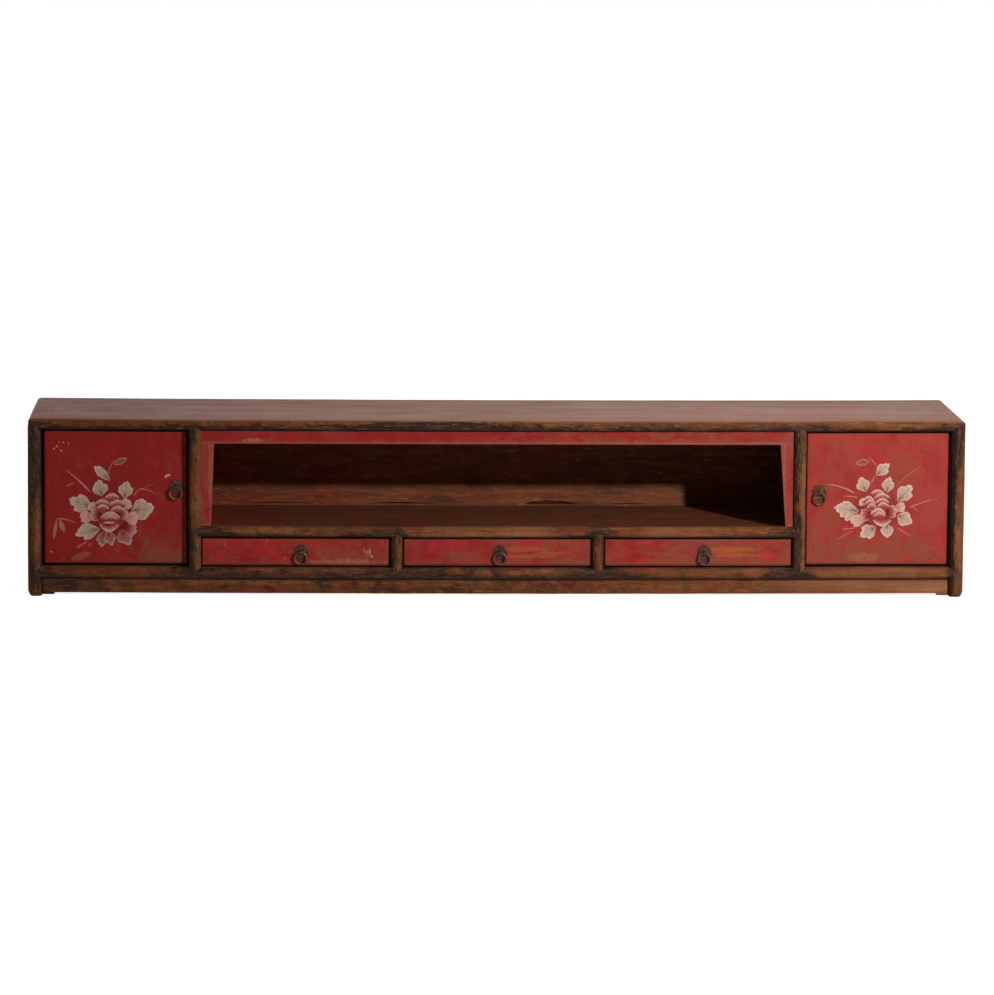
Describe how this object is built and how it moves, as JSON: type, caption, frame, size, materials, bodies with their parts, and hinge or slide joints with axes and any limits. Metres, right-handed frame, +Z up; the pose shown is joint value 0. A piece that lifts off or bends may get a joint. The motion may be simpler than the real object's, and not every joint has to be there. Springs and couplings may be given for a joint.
{
  "type": "low cabinet",
  "caption": "Long low Chinese cabinet: pivot doors at the ends, drawers under an open niche, rounded post-and-rail frame, red painted fronts, hanging ring pulls.",
  "frame": {"origin": "on the floor under the middle of the cabinet", "axes": "+X to the right along the length, front towards -Y, +Z up"},
  "size_m": [2, 0.4, 0.38],
  "materials": {
    "frame_wood": "dark lacquer worn back to amber brown wood, satin",
    "red_lacquer": "old red lacquer on wood with worn edges and painted peonies on the doors, satin",
    "top_wood": "worn greyish brown lacquered wood, satin",
    "inner_wood": "bare brown wood, matte",
    "bronze": "dark aged bronze, half polished by hands"
  },
  "bodies": {
    "carcass": {"front_left_post": "frame_wood", "front_right_post": "frame_wood", "back_posts": "frame_wood", "top_front_rail": "frame_wood", "top_back_rail": "frame_wood", "top_left_rail": "frame_wood", "top_right_rail": "frame_wood", "bottom_front_rail": "frame_wood", "bottom_back_rail": "frame_wood", "bottom_end_rails": "frame_wood", "inner_left_post": "frame_wood", "inner_right_post": "frame_wood", "shelf_rail": "frame_wood", "left_divider": "frame_wood", "right_divider": "frame_wood", "front_apron": "frame_wood", "end_aprons": "frame_wood", "top_battens": "inner_wood", "bottom_panel": "inner_wood", "shelf_panel": "inner_wood", "left_partition": "inner_wood", "right_partition": "inner_wood", "back_planks": "inner_wood", "drawer_runners": "inner_wood", "door_stops": "inner_wood", "left_side_panel": "frame_wood", "right_side_panel": "frame_wood", "niche_top_fascia": "red_lacquer", "niche_left_fascia": "red_lacquer", "niche_right_fascia": "red_lacquer", "top_panel": "top_wood"},
    "left_door": {"left_door_panel": "red_lacquer", "left_door_battens": "inner_wood", "left_door_pull_plate": "bronze", "left_door_pull_eye": "bronze"},
    "right_door": {"right_door_panel": "red_lacquer", "right_door_battens": "inner_wood", "right_door_pull_plate": "bronze", "right_door_pull_eye": "bronze"},
    "left_drawer": {"left_drawer_front": "red_lacquer", "left_drawer_box": "inner_wood", "left_drawer_bottom": "inner_wood", "left_drawer_pull_plate": "bronze", "left_drawer_pull_eye": "bronze"},
    "middle_drawer": {"middle_drawer_front": "red_lacquer", "middle_drawer_box": "inner_wood", "middle_drawer_bottom": "inner_wood", "middle_drawer_pull_plate": "bronze", "middle_drawer_pull_eye": "bronze"},
    "right_drawer": {"right_drawer_front": "red_lacquer", "right_drawer_box": "inner_wood", "right_drawer_bottom": "inner_wood", "right_drawer_pull_plate": "bronze", "right_drawer_pull_eye": "bronze"},
    "left_door_ring": {"left_door_pull_ring": "bronze"},
    "right_door_ring": {"right_door_pull_ring": "bronze"},
    "left_drawer_ring": {"left_drawer_pull_ring": "bronze"},
    "middle_drawer_ring": {"middle_drawer_pull_ring": "bronze"},
    "right_drawer_ring": {"right_drawer_pull_ring": "bronze"}
  },
  "joints": [
    {"name": "left_door_hinge", "type": "hinge", "parent": "carcass", "child": "left_door", "pos_m": [-0.9595, -0.169, 0.21], "axis": [0, 0, -1], "range_deg": [0, 90]},
    {"name": "right_door_hinge", "type": "hinge", "parent": "carcass", "child": "right_door", "pos_m": [0.9595, -0.169, 0.21], "axis": [0, 0, 1], "range_deg": [0, 90]},
    {"name": "left_drawer_slide", "type": "slide", "parent": "carcass", "child": "left_drawer", "axis": [0, -1, 0], "range_m": [0, 0.25]},
    {"name": "middle_drawer_slide", "type": "slide", "parent": "carcass", "child": "middle_drawer", "axis": [0, -1, 0], "range_m": [0, 0.25]},
    {"name": "right_drawer_slide", "type": "slide", "parent": "carcass", "child": "right_drawer", "axis": [0, -1, 0], "range_m": [0, 0.25]},
    {"name": "left_door_ring_hinge", "type": "hinge", "parent": "left_door", "child": "left_door_ring", "pos_m": [-0.685, -0.1852, 0.23175], "axis": [-1, 0, 0], "range_deg": [0, 150]},
    {"name": "right_door_ring_hinge", "type": "hinge", "parent": "right_door", "child": "right_door_ring", "pos_m": [0.689, -0.1852, 0.22275], "axis": [-1, 0, 0], "range_deg": [0, 150]},
    {"name": "left_drawer_ring_hinge", "type": "hinge", "parent": "left_drawer", "child": "left_drawer_ring", "pos_m": [-0.419, -0.1932, 0.09325], "axis": [-1, 0, 0], "range_deg": [0, 150]},
    {"name": "middle_drawer_ring_hinge", "type": "hinge", "parent": "middle_drawer", "child": "middle_drawer_ring", "pos_m": [0.006, -0.1932, 0.09325], "axis": [-1, 0, 0], "range_deg": [0, 150]},
    {"name": "right_drawer_ring_hinge", "type": "hinge", "parent": "right_drawer", "child": "right_drawer_ring", "pos_m": [0.4435, -0.1932, 0.09325], "axis": [-1, 0, 0], "range_deg": [0, 150]}
  ]
}
